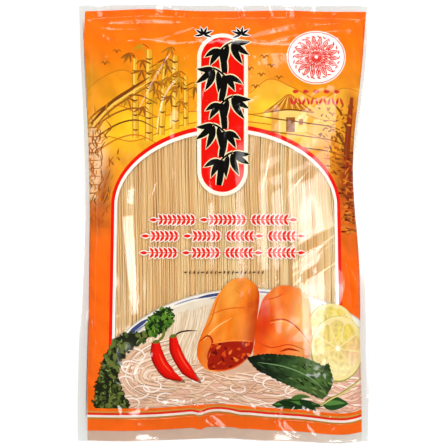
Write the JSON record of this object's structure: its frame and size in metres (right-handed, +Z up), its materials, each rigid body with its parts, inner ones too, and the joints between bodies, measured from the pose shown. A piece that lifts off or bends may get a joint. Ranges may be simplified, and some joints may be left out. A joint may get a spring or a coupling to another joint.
{
  "type": "pack of dried rice vermicelli",
  "caption": "Flat sealed film bag of straight dried rice noodles, with a clear arched window in an orange printed front, welded edges and a soft pillow shape.",
  "frame": {"origin": "on the table, under the middle of the pack's bounding box, as it lies on its back", "axes": "+Z up, out of the printed front; +Y along the pack towards its top weld; +X across it, to the right as the front is read"},
  "size_m": [0.1998, 0.3016, 0.0246],
  "materials": {
    "printed_film": "glossy clear film printed in orange, gold and red on its inner side",
    "rice_noodle": "dry, translucent, ivory to straw-coloured rice noodle"
  },
  "bodies": {
    "root": {"vermicelli_bag": "printed_film"}
  },
  "joints": []
}
